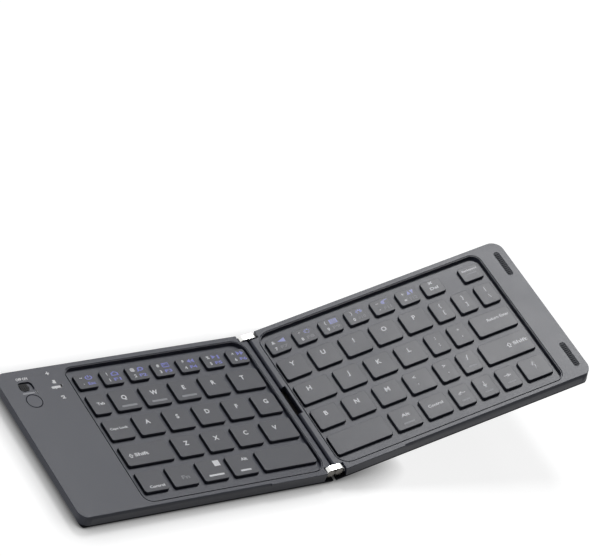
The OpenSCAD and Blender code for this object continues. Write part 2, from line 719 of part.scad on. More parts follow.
module power_switch_knob() color("#24262a") on_half(LEFT)
    translate([switch_u + knob_travel / 2, switch_y, 0]) {
        top = z_rim - 0.15;
        between(z_rim - switch_depth + fit, top - 0.2) pill_rect(knob_len, switch_w - 1.2, 0.9);
        for (x = [-1.2, 0, 1.2]) box(x - 0.25, x + 0.25, -1.4, 1.4, top - 0.2 - eps, top);
        box(-stem_len / 2, stem_len / 2, -stem_w / 2, stem_w / 2, knob_foot(), z_rim - switch_depth + fit + eps);
    }
module connect_button() color("#4d5058") on_half(LEFT) translate([button_u, button_y, 0]) {
    translate([0, 0, z_strip - 0.5]) cylinder(h = strip_t + 0.5, r = button_r);
    translate([0, 0, z_strip - 0.7]) cylinder(h = 0.5, r = button_r + 0.6);
    translate([0, 0, z_board + 1.3]) cylinder(h = z_strip - z_board - 1.6, r = 1.2);
}
module indicator_lights() color("#e8ecef") on_half(LEFT)
    for (y = PIPES) translate([pipe_u, y, z_board + 0.7]) cylinder(h = z_rim - z_board - 0.7, r = pipe_r);
module charging_port() color("#c9ccd0") on_half(LEFT) {
    y1 = half_d - 0.1;
    difference() {
        along_y(y1 - port_len, y1) translate([port_u, port_z()]) pill_rect(port_w, port_h, port_h / 2 - fit);
        along_y(y1 - port_len + 0.4, y1 + past)
            translate([port_u, port_z()]) pill_rect(port_w - 0.6, port_h - 0.6, port_h / 2 - 0.3 - fit);
    }
    box(port_u - 1.9, port_u + 1.9, y1 - port_len + 0.2, y1 - 1.2, port_z() - 0.3, port_z() + 0.3);
}

// Feet, screws and pads
module feet() for (p = FEET) translate([p[0], p[1], 0]) cylinder(h = foot_h + foot_seat, r = foot_r);
module left_feet() color("#1c1d20") on_half(LEFT) feet();
module right_feet() color("#1c1d20") on_half(RIGHT) feet();
module screws() for (p = SCREWS) translate([p[0], p[1], z_case]) {
    difference() {
        cylinder(h = head_h, r = head_r);
        for (a = [0, 90]) rotate(a) translate([-0.7, -0.15, -past]) cube([1.4, 0.3, past + 0.3]);
    }
    cylinder(h = screw_top() - z_case, r = screw_r - fit / 2);
}
module left_case_screws() color("#8f9296") on_half(LEFT) screws();
module right_case_screws() color("#8f9296") on_half(RIGHT) screws();
module ribbed_pads() color("#33353a") on_half(RIGHT) front_and_rear()
    translate([half_w - pad_end, half_d - pad_side, 0]) {
    step = (pad_len - pad_w) / (pad_ribs - 1);
    between(z_rim - pad_seat, z_rim - 0.2) pill_rect(pad_w, pad_len, pad_w / 2 - fit);
    for (i = [0:pad_ribs - 1]) translate([0, (i - (pad_ribs - 1) / 2) * step, 0])
        box(0.4 - pad_w / 2, pad_w / 2 - 0.4, -step / 4, step / 4, z_rim - 0.2 - eps, z_rim + pad_rise);
}

// Outline of a link from the front: a bar with round ends on the two axes
module link_outline(r) {
    translate([-axis_u, z_axis - r]) square([2 * axis_u, 2 * r]);
    for (u = [-axis_u, axis_u]) translate([u, z_axis]) circle(r);
}
module hinge_link() {
    difference() {
        along_y(link_in, link_in + link_plate) link_outline(link_r);
        for (u = [-axis_u, axis_u]) translate([u, link_in - past, z_axis]) rotate([-90, 0, 0])
            cylinder(h = link_plate + 2 * past, r = shaft_r + shaft_clear);
    }
    difference() {
        along_y(link_in + link_plate - eps, link_out) difference() {
            link_outline(link_r);
            link_outline(link_r - link_cap_t);
        }
        box(-notch_u, notch_u, link_in + link_plate, half_d, z_case, z_axis - 0.6);
    }
}
module hinge_links() color("#d9cba6") on_link() front_and_rear() hinge_link();

// Gear on the outer end of a shaft, with its first tooth turned away from the seam's normal by phase
module hinge_gear(phase) translate([axis_u, z_axis]) rotate(phase) polygon([
    for (k = [0:gear_teeth - 1], c = [[gear_root, -0.3], [gear_tip, -0.11], [gear_tip, 0.11], [gear_root, 0.3]])
        c[0] * [cos(gear_step * (k + c[1])), sin(gear_step * (k + c[1]))]
]);
module hinge_brackets(phase) front_and_rear() {
    gear_out = link_out - 0.2;
    along_y(eye_out - eye_len, eye_out) translate([axis_u, z_axis]) circle(eye_r);
    along_y(eye_out - eps, gear_out) translate([axis_u, z_axis]) circle(shaft_r);
    along_y(gear_out - gear_w, gear_out) hinge_gear(phase);
    box(axis_u - 1.1, axis_u + 1.1, eye_out - eye_len, eye_out, z_part + fit, z_axis);
    box(axis_u - 1.1, leaf_len, eye_out - leaf_w, eye_out, z_part + fit, z_part + fit + leaf_t);
}
module left_hinge_brackets() color("#a9abb0") on_half(LEFT) hinge_brackets(0);
module right_hinge_brackets() color("#a9abb0") on_half(RIGHT) hinge_brackets(gear_step / 2);

// Flat cable from one membrane to the other, crossing the seam at the height of the axes
FLEX = concat(
    [[-8.6, z_membrane + 0.16], [-6.4, z_membrane + 0.16], [-5, z_part + 0.28], [-1.4, z_part + 0.28],
    [-0.75, z_part + 0.9], [-0.6, z_axis - 0.9]],
    [turned([0.2, z_axis - 0.15], LEFT_AXIS, half_fold)],
    [for (p = [[1.1, z_axis - 0.7], [1.7, z_axis - 2], [2, z_part + 0.9], [2.7, z_part + 0.28],
    [5, z_part + 0.28], [6.4, z_membrane + 0.16], [8.6, z_membrane + 0.16]]) on_right(p)]
);
// Unit normal of the cable's route at one of its points
function flex_normal(i) =
    let (a = FLEX[max(i - 1, 0)], b = FLEX[min(i + 1, len(FLEX) - 1)], d = (b - a) / norm(b - a)) [-d[1], d[0]];
module flex_cable() color("#2a2420") in_frame() along_y(slot_mid - flex_w / 2, slot_mid + flex_w / 2)
    polygon(concat(
        [for (i = [0:len(FLEX) - 1]) FLEX[i] + flex_normal(i) * flex_t / 2],
        [for (i = [len(FLEX) - 1:-1:0]) FLEX[i] - flex_normal(i) * flex_t / 2]
    ));

left_top_case();
right_top_case();
left_bottom_cover();
right_bottom_cover();
left_key_plate();
right_key_plate();
left_membrane();
right_membrane();
left_rubber_domes();
right_rubber_domes();
left_scissor_clips();
right_scissor_clips();
battery();
main_board();
power_switch_knob();
connect_button();
indicator_lights();
charging_port();
left_feet();
right_feet();
left_case_screws();
right_case_screws();
ribbed_pads();
hinge_links();
left_hinge_brackets();
right_hinge_brackets();
flex_cable();
for (k = KEY_NODES) key_caps(k[1], k[2]);
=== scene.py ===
"""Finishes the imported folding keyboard: softened casing, moulded keys with printed legends, and a studio."""

import json
import math
from contextlib import contextmanager

import bmesh
import bpy
from bpy.props import FloatProperty, FloatVectorProperty, PointerProperty
from mathutils import Matrix, Vector

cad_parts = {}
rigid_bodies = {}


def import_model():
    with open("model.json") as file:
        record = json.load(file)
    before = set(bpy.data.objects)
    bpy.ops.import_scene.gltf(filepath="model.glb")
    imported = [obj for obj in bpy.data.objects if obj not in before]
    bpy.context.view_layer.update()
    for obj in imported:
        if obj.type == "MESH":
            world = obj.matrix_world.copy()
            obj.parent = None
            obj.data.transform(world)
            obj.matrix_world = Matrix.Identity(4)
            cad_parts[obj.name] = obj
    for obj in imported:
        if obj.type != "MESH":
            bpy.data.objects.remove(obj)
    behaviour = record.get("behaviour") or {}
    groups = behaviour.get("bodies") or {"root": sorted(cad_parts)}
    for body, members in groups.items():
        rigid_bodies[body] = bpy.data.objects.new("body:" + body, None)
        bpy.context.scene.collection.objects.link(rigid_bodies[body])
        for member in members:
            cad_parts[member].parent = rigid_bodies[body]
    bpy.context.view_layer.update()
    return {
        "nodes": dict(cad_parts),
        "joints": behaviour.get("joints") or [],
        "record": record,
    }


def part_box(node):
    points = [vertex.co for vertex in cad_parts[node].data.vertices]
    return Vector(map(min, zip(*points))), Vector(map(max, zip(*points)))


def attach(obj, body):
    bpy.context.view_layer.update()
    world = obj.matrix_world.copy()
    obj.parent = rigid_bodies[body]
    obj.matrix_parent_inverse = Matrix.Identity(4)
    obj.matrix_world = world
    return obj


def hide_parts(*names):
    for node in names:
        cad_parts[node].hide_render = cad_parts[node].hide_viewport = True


bl_info = {
    "name": "Folding keyboard",
    "version": (1, 0, 0),
    "blender": (4, 5, 0),
    "location": "3D Viewport > Sidebar > Keyboard",
    "description": "Builds the finish of a folding keyboard round its packed frame",
    "category": "Object",
}

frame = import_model()
NODES = frame["nodes"]
JOINTS = {joint["name"]: joint for joint in frame["joints"]}

MM = 0.001
TINY = 0.00001  # two places closer than this count as one
WELD = 0.002 * MM  # distance within which the doubled vertices of a CAD mesh are merged
FLAT_ANGLE = math.radians(0.4)  # faces that meet at less than this are one flat face
SHARP_ANGLE = math.radians(25)  # an edge is rounded only where its faces turn by more than this
SHORTEST_EDGE = 0.12 * MM  # shorter edges on a rim belong to small notches, which stay sharp
SMOOTH_ANGLE = math.radians(35)  # shading is smooth across edges that turn by less than this
ROW_DEPTH = 5 * MM  # keys whose front edges differ by less than this stand in one row
CAPITAL_SHARE = 0.69  # height of a capital letter in the built-in font, for a size of 1
LETTER_BOLD = 0.032  # how much the outline of a letter is widened, for a size of 1
LETTER_DEPTH = 0.01  # thickness of a letter before it is scaled to the ink's height
LETTER_WELD = 0.001 * MM  # distance within which the doubled vertices of a letter are merged
BAR_CORNER = 0.45  # corner radius of a printed bar, as a share of its depth


def places():
    """How each half and the links lie in the frame, starting from open flat beside the left half."""
    left_axis = Vector(JOINTS["link_hinge"]["pos_m"])
    right_axis = Vector(JOINTS["right_hinge"]["pos_m"])
    flat_axis = left_axis + Vector(((right_axis - left_axis).length, 0, 0))
    half_fold = math.radians(-JOINTS["link_hinge"]["range_deg"][0])
    turn = Matrix.Rotation(-half_fold, 4, "Y")

    def about(axis):
        return Matrix.Translation(axis) @ turn @ Matrix.Translation(-axis)

    return {"left": Matrix(), "link": about(left_axis), "right": about(left_axis) @ about(flat_axis)}


PLACES = places()


# Sizes and colours that a user would change


class HousingSettings(bpy.types.PropertyGroup):
    colour: FloatVectorProperty(
        name="Colour",
        description="Colour of the moulded housing",
        subtype="COLOR",
        default=(0.05, 0.055, 0.078),
    )
    cover_colour: FloatVectorProperty(
        name="Cover colour",
        description="Colour of the lower shells",
        subtype="COLOR",
        default=(0.02, 0.021, 0.026),
    )
    edge: FloatProperty(
        name="Edge rounding",
        description="Rounding of the rim's upper edges",
        unit="LENGTH",
        default=0.25 * MM,
    )
    grain: FloatProperty(
        name="Grain",
        description="Size of the fine grain on the plastic",
        unit="LENGTH",
        default=0.22 * MM,
    )
    mark_colour: FloatVectorProperty(
        name="Mark colour",
        description="Ink of the marks on the control strip",
        subtype="COLOR",
        default=(0.95, 0.95, 0.97),
    )


class KeySettings(bpy.types.PropertyGroup):
    colour: FloatVectorProperty(
        name="Colour",
        description="Colour of the key caps",
        subtype="COLOR",
        default=(0.047, 0.051, 0.068),
    )
    corner: FloatProperty(
        name="Corner radius",
        description="Radius of a key's corners, seen from above",
        unit="LENGTH",
        default=1.3 * MM,
    )
    edge: FloatProperty(
        name="Edge rounding",
        description="Rounding of a key's upper edge",
        unit="LENGTH",
        default=0.28 * MM,
    )
    wall: FloatProperty(
        name="Skirt",
        description="Thickness of a key's skirt",
        unit="LENGTH",
        default=0.9 * MM,
    )
    top: FloatProperty(
        name="Top",
        description="Thickness of a key's top",
        unit="LENGTH",
        default=1.0 * MM,
    )
    post_radius: FloatProperty(
        name="Post radius",
        description="Radius of the post under a key",
        unit="LENGTH",
        default=1.5 * MM,
    )
    post_rise: FloatProperty(
        name="Post rise",
        description="How far the post ends above the lower edge of the skirt",
        unit="LENGTH",
        default=0.3 * MM,
    )
    post_edge: FloatProperty(
        name="Post rounding",
        description="Rounding of the post's lower edge",
        unit="LENGTH",
        default=0.2 * MM,
    )
    ink: FloatProperty(
        name="Ink",
        description="Height of the printed ink above the surface",
        unit="LENGTH",
        default=0.012 * MM,
    )
    letter_colour: FloatVectorProperty(
        name="Letter colour",
        description="Ink of the letters and digits",
        subtype="COLOR",
        default=(0.95, 0.96, 1.0),
    )
    second_colour: FloatVectorProperty(
        name="Second colour",
        description="Ink of the signs for the second function",
        subtype="COLOR",
        default=(0.2, 0.22, 0.7),
    )
    icon_colour: FloatVectorProperty(
        name="Icon colour",
        description="Ink of the icons on the right half's number row",
        subtype="COLOR",
        default=(0.42, 0.45, 0.85),
    )
    pale_colour: FloatVectorProperty(
        name="Pale colour",
        description="Ink of the faint words",
        subtype="COLOR",
        default=(0.22, 0.225, 0.25),
    )
    bar_colour: FloatVectorProperty(
        name="Bar colour",
        description="Ink of the pale bars",
        subtype="COLOR",
        default=(0.27, 0.28, 0.31),
    )


class ControlSettings(bpy.types.PropertyGroup):
    knob_colour: FloatVectorProperty(
        name="Knob colour",
        description="Colour of the power switch's knob",
        subtype="COLOR",
        default=(0.012, 0.0125, 0.014),
    )
    knob_edge: FloatProperty(
        name="Knob rounding",
        description="Rounding of the knob's upper edges",
        unit="LENGTH",
        default=0.08 * MM,
    )
    button_edge: FloatProperty(
        name="Button rounding",
        description="Rounding of the connect button's rim",
        unit="LENGTH",
        default=0.3 * MM,
    )


class HingeSettings(bpy.types.PropertyGroup):
    colour: FloatVectorProperty(
        name="Link colour",
        description="Colour of the polished hinge links",
        subtype="COLOR",
        default=(0.82, 0.82, 0.8),
    )
    edge: FloatProperty(
        name="Edge rounding",
        description="Rounding of a link's edges",
        unit="LENGTH",
        default=0.12 * MM,
    )


class PadSettings(bpy.types.PropertyGroup):
    colour: FloatVectorProperty(
        name="Pad colour",
        description="Colour of the two ribbed rubber pads",
        subtype="COLOR",
        default=(0.066, 0.069, 0.08),
    )
    rib_edge: FloatProperty(
        name="Rib rounding",
        description="Rounding of the rubber pads' ribs",
        unit="LENGTH",
        default=0.1 * MM,
    )


class StudioSettings(bpy.types.PropertyGroup):
    floor_colour: FloatVectorProperty(
        name="Floor colour",
        description="Colour of the floor and the backdrop",
        subtype="COLOR",
        default=(0.4, 0.404, 0.408),
    )
    floor_glow: FloatProperty(
        name="Floor glow",
        description="How much of the floor's brightness is its own, so that shadows on it stay pale",
        default=0.86,
    )
    # Reach of the painted contact shadow: ambient occlusion darkens the floor's own glow round the object.
    contact: FloatProperty(
        name="Contact shadow",
        description="How far the object darkens the floor's own glow round it",
        unit="LENGTH",
        default=14 * MM,
    )
    sky: FloatProperty(
        name="Sky",
        description="Strength of the plain light from all round",
        default=0.06,
    )
    key_power: FloatProperty(
        name="Key lamp",
        description="Power of the large lamp above and behind",
        default=66,
    )
    rear_power: FloatProperty(
        name="Rear lamp",
        description="Power of the lamp far behind the right end",
        unit="POWER",
        default=3.4,
    )
    side_power: FloatProperty(
        name="Side lamp",
        description="Power of the soft lamp at the left",
        default=3,
    )
    camera_place: FloatVectorProperty(
        name="Camera",
        description="Place of the camera",
        subtype="TRANSLATION",
        unit="LENGTH",
        default=(-1.160248, -1.042454, 1.329097),
    )
    camera_turn: FloatVectorProperty(
        name="Camera turn",
        description="Rotation of the camera",
        subtype="EULER",
        unit="ROTATION",
        default=[math.radians(angle) for angle in (48.5535, -19.6429, -30.7638)],
    )
    lens: FloatProperty(
        name="Lens",
        description="Focal length of the camera, in millimetres on a 36 mm sensor",
        default=241.726,
    )


class KeyboardSettings(bpy.types.PropertyGroup):
    housing: PointerProperty(type=HousingSettings)
    key: PointerProperty(type=KeySettings)
    control: PointerProperty(type=ControlSettings)
    hinge: PointerProperty(type=HingeSettings)
    pad: PointerProperty(type=PadSettings)
    studio: PointerProperty(type=StudioSettings)


def settings():
    """The sizes and colours that hold for this scene."""
    return bpy.context.scene.folding_keyboard


# Work on meshes, as by hand


def only(*pieces):
    """Selects these pieces and nothing else, and makes the first one active."""
    bpy.ops.object.select_all(action="DESELECT")
    for piece in pieces:
        piece.select_set(True)
    bpy.context.view_layer.objects.active = pieces[0]


@contextmanager
def editing(piece):
    """Edit mode on one piece, for as long as the block lasts."""
    only(piece)
    bpy.ops.object.mode_set(mode="EDIT")
    yield
    bpy.ops.object.mode_set(mode="OBJECT")


def pick(piece, kind, test):
    """Selects, in edit mode, the edges or faces that pass a test, and nothing else."""
    bpy.context.tool_settings.mesh_select_mode = (False, kind == "edges", kind == "faces")
    mesh = bmesh.from_edit_mesh(piece.data)
    for parts in (mesh.faces, mesh.edges, mesh.verts):
        for part in parts:
            part.select = False
    for part in getattr(mesh, kind):
        if test(part):
            part.select_set(True)
    bmesh.update_edit_mesh(piece.data)


def upright(edge):
    """Whether an edge stands up rather than lies."""
    a, b = edge.verts
    return abs(a.co.z - b.co.z) > 0.9 * (a.co - b.co).length


def looks_down(face):
    """Whether a face is turned to the ground."""
    return face.normal.z < -0.9


def at_height(part, z):
    """Whether all of an edge or face lies at one height."""
    return all(abs(vertex.co.z - z) < TINY for vertex in part.verts)


def join(*pieces):
    """Joins the pieces into the first one."""
    if len(pieces) > 1:
        only(*pieces)
        bpy.ops.object.join()
    return pieces[0]


def smooth(piece):
    """Smooths all but the sharp edges, and lets the large faces keep their own normals."""
    only(piece)
    bpy.ops.object.shade_smooth_by_angle(angle=SMOOTH_ANGLE)
    modifier = piece.modifiers.new("Even shading", "WEIGHTED_NORMAL")
    modifier.keep_sharp = True
    bpy.ops.object.modifier_apply(modifier=modifier.name)


def settle(piece, name, side, body, nodes):
    """Names a piece, moves it from its half's flat place into the frame, and hands it to its body."""
    piece.name = name
    piece.data.name = name
    piece.data.transform(PLACES[side])
    smooth(piece)
    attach(piece, body)
    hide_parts(*nodes)
    return piece


def solids(node, side):
    """Lowest and highest corner of each solid of a CAD node, in its half's flat place."""
    mesh = NODES[node].data
    flat = PLACES[side].inverted()
    welded = {}
    for vertex in mesh.vertices:
        welded.setdefault(tuple(round(c / TINY) for c in vertex.co), []).append(vertex.index)
    leader = list(range(len(mesh.vertices)))

    def lead(index):
        while leader[index] != index:
            leader[index] = leader[leader[index]]
            index = leader[index]
        return index

    for group in list(welded.values()) + [list(face.vertices) for face in mesh.polygons]:
        for other in group[1:]:
            leader[lead(other)] = lead(group[0])
    boxes = {}
    for vertex in mesh.vertices:
        point = flat @ vertex.co
        low, high = boxes.setdefault(lead(vertex.index), (point.copy(), point.copy()))
        for axis in range(3):
            low[axis] = min(low[axis], point[axis])
            high[axis] = max(high[axis], point[axis])
    return list(boxes.values())


def reading_order(boxes):
    """Boxes from the rear row to the front one, and from left to right in each row."""
    return sorted(boxes, key=lambda box: (-round(box[0].y / ROW_DEPTH), box[0].x))


# Patterns that more than one material uses


def pattern(name, inputs, outputs):
    """An empty shader group with named inputs and outputs, and its two end nodes."""
    group = bpy.data.node_groups.new(name, "ShaderNodeTree")
    kinds = {"float": "NodeSocketFloat", "vector": "NodeSocketVector", "colour": "NodeSocketColor"}
    for label, kind in inputs:
        group.interface.new_socket(name=label, in_out="INPUT", socket_type=kinds[kind])
    for label, kind in outputs:
        group.interface.new_socket(name=label, in_out="OUTPUT", socket_type=kinds[kind])
    return group, group.nodes.new("NodeGroupInput"), group.nodes.new("NodeGroupOutput")


def put(tree, value, socket):
    """Feeds a socket from another one, or sets it to a plain value."""
    if isinstance(value, bpy.types.NodeSocket):
        tree.links.new(value, socket)
    else:
        socket.default_value = value


def math_node(tree, operation, first, second):
    """The result of a sum on two numbers or sockets."""
    node = tree.nodes.new("ShaderNodeMath")
    node.operation = operation
    put(tree, first, node.inputs[0])
    put(tree, second, node.inputs[1])
    return node.outputs[0]


def mix_node(tree, kind, share, first, second):
    """A mix of two numbers or two colours, by a share from 0 to 1."""
    node = tree.nodes.new("ShaderNodeMix")
    node.data_type = kind
    put(tree, share, node.inputs["Factor"])
    put(tree, first, node.inputs["A"])
    put(tree, second, node.inputs["B"])
    return node.outputs["Result"]


def noise(tree, vector, scale, detail=2, roughness=0.5):
    """Soft noise on a vector."""
    node = tree.nodes.new("ShaderNodeTexNoise")
    node.inputs["Detail"].default_value = detail
    node.inputs["Roughness"].default_value = roughness
    put(tree, vector, node.inputs["Vector"])
    put(tree, scale, node.inputs["Scale"])
    return node.outputs["Fac"]


def grain_pattern():
    """Fine grain of a spark-eroded mould: small bumps of two sizes."""
    group, start, end = pattern(
        "Mould grain", [("Vector", "vector"), ("Size", "float")], [("Height", "float")]
    )
    scale = math_node(group, "DIVIDE", 1, start.outputs["Size"])
    coarse = noise(group, start.outputs["Vector"], scale, 3, 0.6)
    fine = noise(group, start.outputs["Vector"], math_node(group, "MULTIPLY", scale, 3.1))
    mixed = math_node(group, "ADD", coarse, math_node(group, "MULTIPLY", fine, 0.4))
    group.links.new(mixed, end.inputs["Height"])
    return group


def drift_pattern():
    """A slow change between two colours, with fine flecks in it."""
    group, start, end = pattern(
        "Colour drift",
        [("Vector", "vector"), ("Colour A", "colour"), ("Colour B", "colour"), ("Size", "float")],
        [("Colour", "colour")],
    )
    scale = math_node(group, "DIVIDE", 1, start.outputs["Size"])
    slow = noise(group, start.outputs["Vector"], scale, 3)
    flecks = noise(group, start.outputs["Vector"], math_node(group, "MULTIPLY", scale, 90))
    share = math_node(group, "ADD", slow, math_node(group, "MULTIPLY", flecks, 0.5))
    share = math_node(group, "SUBTRACT", share, 0.25)
    mixed = mix_node(group, "RGBA", share, start.outputs["Colour A"], start.outputs["Colour B"])
    group.links.new(mixed, end.inputs["Colour"])
    return group


def handling_pattern():
    """Roughness that changes a little over the surface, where hands and cloth have polished it."""
    group, start, end = pattern(
        "Handling", [("Vector", "vector"), ("Low", "float"), ("High", "float")], [("Roughness", "float")]
    )
    cloud = noise(group, start.outputs["Vector"], 38, 4, 0.6)  # patches of about 26 mm
    span = math_node(group, "SUBTRACT", start.outputs["High"], start.outputs["Low"])
    value = math_node(group, "ADD", start.outputs["Low"], math_node(group, "MULTIPLY", cloud, span))
    group.links.new(value, end.inputs["Roughness"])
    return group


def brushed_pattern():
    """Fine parallel lines, as rolling or brushing leaves on metal."""
    group, start, end = pattern(
        "Brushed lines", [("Vector", "vector"), ("Size", "float")], [("Height", "float")]
    )
    stretch = group.nodes.new("ShaderNodeMapping")
    stretch.inputs["Scale"].default_value = (0.02, 1, 1)  # drawn out along X
    group.links.new(start.outputs["Vector"], stretch.inputs["Vector"])
    scale = math_node(group, "DIVIDE", 1, start.outputs["Size"])
    group.links.new(noise(group, stretch.outputs["Vector"], scale, 4), end.inputs["Height"])
    return group


def tracks_pattern():
    """Narrow printed tracks that run along and across, as a mask."""
    group, start, end = pattern(
        "Tracks", [("Vector", "vector"), ("Pitch", "float")], [("Mask", "float")]
    )
    waves = []
    for direction in ("X", "Y"):
        wave = group.nodes.new("ShaderNodeTexWave")
        wave.bands_direction = direction
        wave.inputs["Distortion"].default_value = 3
        wave.inputs["Detail"].default_value = 1
        group.links.new(start.outputs["Vector"], wave.inputs["Vector"])
        scale = math_node(group, "DIVIDE", 0.3, start.outputs["Pitch"])
        group.links.new(scale, wave.inputs["Scale"])
        waves.append(math_node(group, "GREATER_THAN", wave.outputs["Fac"], 0.8))
    group.links.new(math_node(group, "MAXIMUM", *waves), end.inputs["Mask"])
    return group


PATTERNS = {}


def shared(name):
    """A pattern's node group, built the first time that it is asked for."""
    makers = {
        "grain": grain_pattern,
        "drift": drift_pattern,
        "handling": handling_pattern,
        "brushed": brushed_pattern,
        "tracks": tracks_pattern,
    }
    if name not in PATTERNS:
        PATTERNS[name] = makers[name]()
    return PATTERNS[name]


class Finish:
    """A material in the making: its node tree, its shader and its place on the object."""

    def __init__(self, name, roughness, metallic=0.0):
        self.material = bpy.data.materials.new(name)
        self.material.use_nodes = True
        self.tree = self.material.node_tree
        self.shader = self.tree.nodes["Principled BSDF"]
        self.shader.inputs["Roughness"].default_value = roughness
        self.shader.inputs["Metallic"].default_value = metallic
        self.vector = self.tree.nodes.new("ShaderNodeTexCoord").outputs["Object"]

    def place(self, name, **values):
        """Places a pattern in the material, with its own values."""
        node = self.tree.nodes.new("ShaderNodeGroup")
        node.node_tree = shared(name)
        self.tree.links.new(self.vector, node.inputs["Vector"])
        for label, value in values.items():
            node.inputs[label.replace("_", " ")].default_value = value
        return node.outputs[0]

    def feed(self, output, socket):
        self.tree.links.new(output, self.shader.inputs[socket])

    def colour(self, colour, drift, size):
        """Gives it a colour that drifts by a share of itself, over patches of a size."""
        darker = [c * (1 - drift) for c in colour] + [1]
        lighter = [c * (1 + drift) for c in colour] + [1]
        self.feed(self.place("drift", Colour_A=darker, Colour_B=lighter, Size=size), "Base Color")

    def rough(self, low, high):
        """Gives it a roughness that wanders between two values."""
        self.feed(self.place("handling", Low=low, High=high), "Roughness")

    def bump(self, height, depth):
        """Raises its surface by a height from 0 to 1, times a depth."""
        node = self.tree.nodes.new("ShaderNodeBump")
        node.inputs["Distance"].default_value = depth
        node.inputs["Strength"].default_value = 1
        self.tree.links.new(height, node.inputs["Height"])
        self.feed(node.outputs["Normal"], "Normal")


def plastic(name, colour, rough, grain=None, depth=0.02 * MM, shine=0.35):
    """Moulded plastic or rubber with a fine grain."""
    finish = Finish(name, sum(rough) / 2)
    finish.shader.inputs["Specular IOR Level"].default_value = shine
    finish.colour(colour, 0.06, 45 * MM)
    finish.rough(*rough)
    finish.bump(finish.place("grain", Size=grain or settings().housing.grain), depth)
    return finish.material


def metal(name, colour, rough, lines=0.12 * MM, depth=0.002 * MM):
    """Metal with fine lines along it."""
    finish = Finish(name, sum(rough) / 2, metallic=1.0)
    finish.colour(colour, 0.03, 20 * MM)
    finish.rough(*rough)
    finish.bump(finish.place("brushed", Size=lines), depth)
    return finish.material


def ink(name, colour):
    """Printed ink."""
    finish = Finish(name, 0.45)
    finish.colour(colour, 0.04, 4 * MM)
    finish.rough(0.38, 0.52)
    return finish.material


def tracked(name, base, track, rough, pitch):
    """A board or foil with printed tracks."""
    finish = Finish(name, sum(rough) / 2)
    mask = finish.place("tracks", Pitch=pitch)
    finish.feed(mix_node(finish.tree, "RGBA", mask, (*base, 1), (*track, 1)), "Base Color")
    finish.rough(*rough)
    finish.bump(mask, 0.01 * MM)
    return finish.material


MATERIALS = {}


def material(name):
    """A finish by name, made the first time that it is asked for."""
    housing, key = settings().housing, settings().key
    control, hinge, pad = settings().control, settings().hinge, settings().pad
    makers = {
        "housing": lambda: plastic("Housing plastic", housing.colour, (0.28, 0.36), shine=0.3),
        "cover": lambda: plastic("Lower shell plastic", housing.cover_colour, (0.45, 0.56), shine=0.03),
        "key": lambda: plastic("Key plastic", key.colour, (0.28, 0.36), 0.16 * MM, 0.012 * MM, shine=0.3),
        "button": lambda: plastic("Button plastic", housing.colour, (0.36, 0.44), 0.15 * MM, 0.01 * MM),
        "knob": lambda: plastic("Knob plastic", control.knob_colour, (0.4, 0.5), 0.2 * MM, shine=0.12),
        "pad": lambda: plastic("Pad rubber", pad.colour, (0.6, 0.74), 0.3 * MM, 0.03 * MM),
        "foot": lambda: plastic("Foot rubber", (0.014, 0.014, 0.016), (0.7, 0.85), 0.35 * MM, 0.04 * MM),
        "dome": lambda: plastic("Silicone", (0.72, 0.7, 0.66), (0.5, 0.6), 0.4 * MM, 0.01 * MM),
        "clip": lambda: plastic("Clip plastic", (0.66, 0.66, 0.63), (0.38, 0.48), 0.3 * MM, 0.01 * MM),
        "light": lambda: plastic("Light pipe", (0.8, 0.82, 0.84), (0.18, 0.26), 0.3 * MM, 0.004 * MM),
        "link": lambda: metal("Polished link", hinge.colour, (0.16, 0.28)),
        "bracket": lambda: metal("Pressed steel", (0.2, 0.19, 0.175), (0.3, 0.42)),
        "plate": lambda: metal("Rolled steel", (0.42, 0.43, 0.45), (0.32, 0.46), 0.2 * MM),
        "screw": lambda: metal("Screw steel", (0.2, 0.2, 0.21), (0.26, 0.38), 0.1 * MM),
        "port": lambda: metal("Nickel shell", (0.68, 0.68, 0.69), (0.2, 0.32)),
        "battery": lambda: metal("Foil pouch", (0.62, 0.63, 0.65), (0.36, 0.5), 0.6 * MM, 0.006 * MM),
        "board": lambda: tracked(
            "Circuit board", (0.012, 0.09, 0.045), (0.03, 0.16, 0.08), (0.3, 0.42), 0.8 * MM
        ),
        "membrane": lambda: tracked(
            "Printed membrane", (0.5, 0.56, 0.5), (0.3, 0.31, 0.3), (0.2, 0.32), 1.4 * MM
        ),
        "flex": lambda: tracked(
            "Flat cable", (0.012, 0.011, 0.01), (0.03, 0.026, 0.022), (0.26, 0.38), 0.9 * MM
        ),
        "letters": lambda: ink("White ink", key.letter_colour),
        "second": lambda: ink("Blue ink", key.second_colour),
        "icon": lambda: ink("Pale blue ink", key.icon_colour),
        "pale": lambda: ink("Faint ink", key.pale_colour),
        "bars": lambda: ink("Grey ink", key.bar_colour),
        "marks": lambda: ink("Mark ink", housing.mark_colour),
    }
    if name not in MATERIALS:
        MATERIALS[name] = makers[name]()
    return MATERIALS[name]


def dress(piece, name):
    """Gives a piece one material all over."""
    piece.data.materials.clear()
    piece.data.materials.append(material(name))


